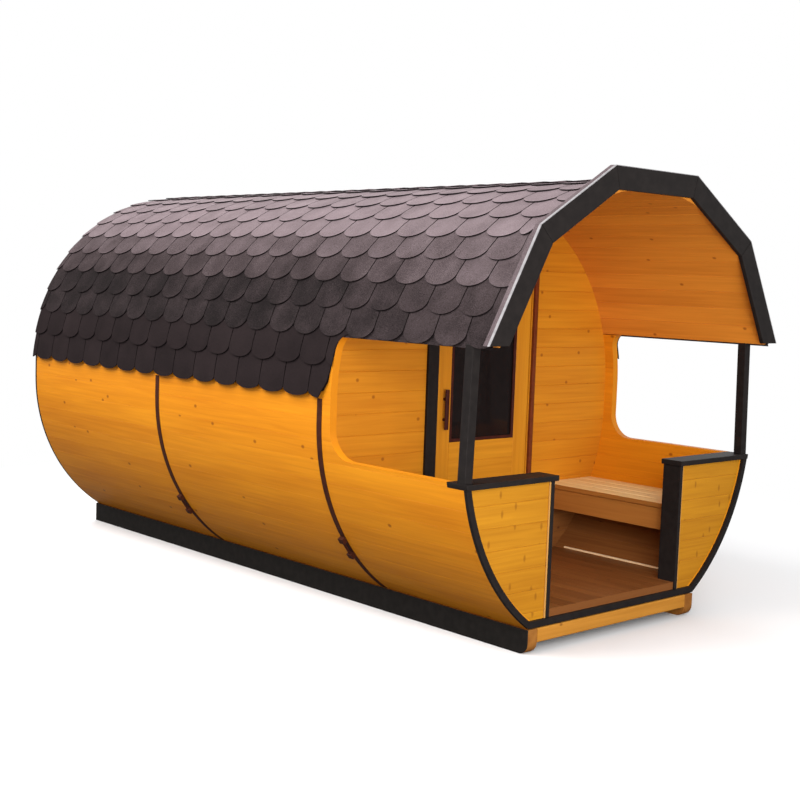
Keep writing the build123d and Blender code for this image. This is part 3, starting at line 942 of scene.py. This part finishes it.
# Glazing beads: butted strips pinned round the pane on both of its faces,
# stained red-brown, and the smoked pane between them.
bead_wide = 0.018
bead_thick = 0.012
beads = bmesh.new()
pane_mid = (pane_low + pane_high) / 2
reach = (pane_high - pane_low) / 2
for y in (low.y + bead_thick / 2, high.y - bead_thick / 2):
    for sign in (-1, 1):
        board = plank(2 * reach.z, bead_wide, bead_thick, 0.002, 0)
        x = pane_mid.x + sign * (reach.x - bead_wide / 2)
        add(beads, board, standing_at(Vector((x, y, pane_mid.z))))
        board = plank(2 * (reach.x - bead_wide), bead_wide, bead_thick, 0.002, 0)
        z = pane_mid.z + sign * (reach.z - bead_wide / 2)
        add(beads, board, level_at(Vector((pane_mid.x, y, z))))
bead_stain = stained("bead_stain", [(0.040, 0.009, 0.006), (0.065, 0.014, 0.009)], 0.5)
stand_for(beads, "glazing_beads", bead_stain, [], "door")

smoked = coat("smoked_pane", (0.014, 0.010, 0.0095), 0.07, 0.2)
smoked.node_tree.nodes["Principled BSDF"].inputs["Alpha"].default_value = 0.9
dress(["door_glass"], smoked)

# Door handle: a stained hardwood bar with rounded edges on two round pegs, which
# are glued into the bar and the left stile.
grip_low, grip_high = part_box("door_handle")
grip_mid = (grip_low + grip_high) / 2
grip_size = grip_high - grip_low
grip_thick = 0.016
stand_off = 0.017
peg_radius = 0.009
peg_apart = 0.110
peg_sunk = 0.001
grip = bmesh.new()
bar = plank(grip_size.z, grip_size.x, grip_thick, 0.005, 0)
bar_y = low.y - stand_off - grip_thick / 2 + peg_sunk
add(grip, bar, standing_at(Vector((grip_mid.x, bar_y, grip_mid.z))))
for sign in (-1, 1):
    peg = bmesh.new()
    bmesh.ops.create_cone(peg, cap_ends=True, segments=20, radius1=peg_radius, radius2=peg_radius,
                          depth=stand_off + 2 * peg_sunk)
    peg_z = grip_mid.z + sign * peg_apart / 2
    add(grip, peg, level_at(Vector((grip_mid.x, low.y - stand_off / 2, peg_z))))
handle_stain = stained("handle_stain", [(0.035, 0.007, 0.006), (0.060, 0.013, 0.010)], 0.4)
stand_for(grip, "door_handle_grip", handle_stain, ["door_handle"], "door")

# Door hinges: two lift-off hinges, each a pin screwed to the frame and a flap
# screwed to the leaf, painted as the straps are.
dark_steel = stained("strap_paint", [(0.044, 0.0115, 0.006), (0.066, 0.018, 0.009)], 0.5)
dress(["door_hinge_pins", "door_hinge_flaps"], dark_steel)

# Porch floor and room floor: brown stained boards running lengthwise, cut round
# the half walls, with a thin pale lath in the corner between floor and hull.
def lengthwise_at(middle):
    """Lays a board flat along the sauna."""
    return lambda co: middle + Vector((-co.y, co.x, co.z))


low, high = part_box("floor")
middle = (low + high) / 2
floor_over = 0.002
board_count = 14
board_width = (high.x - low.x + 2 * floor_over) / board_count
board_length = high.y - low.y + 2 * floor_over
floor = bmesh.new()
for i in range(board_count):
    board = plank(board_length, board_width, high.z - low.z - board_shy, 0.002, 100 + i)
    middle.x = low.x - floor_over + board_width * (i + 0.5)
    add(floor, board, lengthwise_at(middle))
floor_piece = boarded("floor_boards", ["floor"], brown_stain_and_painted_shade, floor)
wall_foot_in = 0.4935
for word, side in (("left", -1), ("right", 1)):
    wall_low, wall_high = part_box(f"half_wall_{word}")
    left, right = sorted((wall_foot_in * side, half_out * side))
    wall_room = block(Vector((left, wall_low.y - 0.02, sill_top)),
                      Vector((right, wall_high.y, sill_top + 0.1)))
    cut_piece(floor_piece, as_mesh(wall_room, "wall_room"), "DIFFERENCE")
lath_low, lath_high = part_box("floor_laths")
lath_thick = 0.012
lath_run = 0.800
lath_y = lath_low.y + 0.001 + lath_run / 2
laths = bmesh.new()
for side in (-1, 1):
    lath = plank(lath_run, lath_thick, lath_thick, 0.0015, 110)
    x = side * (lath_high.x - 0.0145)
    add(laths, lath, lengthwise_at(Vector((x, lath_y, lath_low.z + lath_thick / 2))))
bare_pine = glazed_pine("bare_pine", [(0.90, 0.62, 0.34), (0.96, 0.74, 0.46)], (0.6, 0.35, 0.15), 0.5)
stand_for(laths, "pale_laths", bare_pine, ["floor_laths"])

# Benches: pale unglazed slats, their tone partly painted sunlight, along both sides
# of the porch behind a brown edge board, on a deep brown apron.
# Painted light: the slats' pale tones are partly the bare wood and partly painted sunlight falling through
# the opening.
bench_pine_painted_sunlight = glazed_pine("bench_pine_painted_sunlight", [(0.92, 0.66, 0.27), (0.98, 0.80, 0.42)], (0.45, 0.20, 0.06), 0.5)
apron_pine = glazed_pine("apron_pine", [(0.30, 0.105, 0.020), (0.42, 0.16, 0.032)], (0.15, 0.04, 0.01), 0.5)
slat_count = 4
slat_gap = 0.006
slat_ease = 0.003
edge_thick = 0.012


def on_edge_at(middle):
    """Stands a board on its edge along the sauna."""
    return lambda co: middle + Vector((co.z, co.x, co.y))


for word, side in (("left", -1), ("right", 1)):
    low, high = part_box(f"bench_seat_{word}")
    middle = (low + high) / 2
    inner = low.x if side == 1 else high.x
    size = high - low
    slat = (size.x - edge_thick) / slat_count
    slats = bmesh.new()
    for i in range(slat_count):
        board = plank(size.y + 0.004, slat - slat_gap, size.z - board_shy, slat_ease, 120 + i + len(word))
        middle.x = inner + side * (edge_thick + slat * (i + 0.5))
        add(slats, board, lengthwise_at(middle))
    boarded(f"bench_slats_{word}", [f"bench_seat_{word}"], bench_pine_painted_sunlight, slats)
    apron_low, apron_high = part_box(f"bench_apron_{word}")
    apron_size = apron_high - apron_low
    apron = bmesh.new()
    board = plank(size.y, apron_size.z, apron_size.x, slat_ease, 130 + len(word))
    add(apron, board, on_edge_at((apron_low + apron_high) / 2))
    board = plank(size.y, size.z - 0.001, edge_thick - 0.001, slat_ease, 133 + len(word))
    middle.x = inner + side * edge_thick / 2
    add(apron, board, on_edge_at(middle))
    stand_for(apron, f"bench_apron_board_{word}", apron_pine, [f"bench_apron_{word}"])

# Straps: painted steel bands round the hull, each drawn tight by a bolt through
# two lugs low on either side.
dress(["strap_porch", "strap_room"], dark_steel)

# Skids and cross beams: skids dark on their outer sides and bare brown elsewhere,
# their front feet rounded, and amber beams let in between them.
skid_side_dark = stained("skid_side_dark", [(0.0105, 0.009, 0.008), (0.016, 0.0135, 0.012)], 0.6)
bare_brown = stained("bare_brown", [(0.24, 0.085, 0.016), (0.34, 0.135, 0.026)], 0.6)
for word, side in (("left", -1), ("right", 1)):
    piece = eased(f"skid_{word}", 0.004, skid_side_dark)
    piece.data.materials.append(bare_brown)
    for face in piece.data.polygons:
        if face.normal.x * side < 0.3:
            face.material_index = 1
beam_pine = glazed_pine("beam_pine", [(0.42, 0.165, 0.020), (0.56, 0.24, 0.034)], (0.2, 0.06, 0.008), 0.5)
for node in ("front_cross_beam", "rear_cross_beam"):
    low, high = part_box(node)
    beam = bmesh.new()
    timber = plank(high.x - low.x, high.z - low.z, high.y - low.y, 0.004, 140)
    add(beam, timber, level_at((low + high) / 2))
    stand_for(beam, node + "_board", beam_pine, [node])
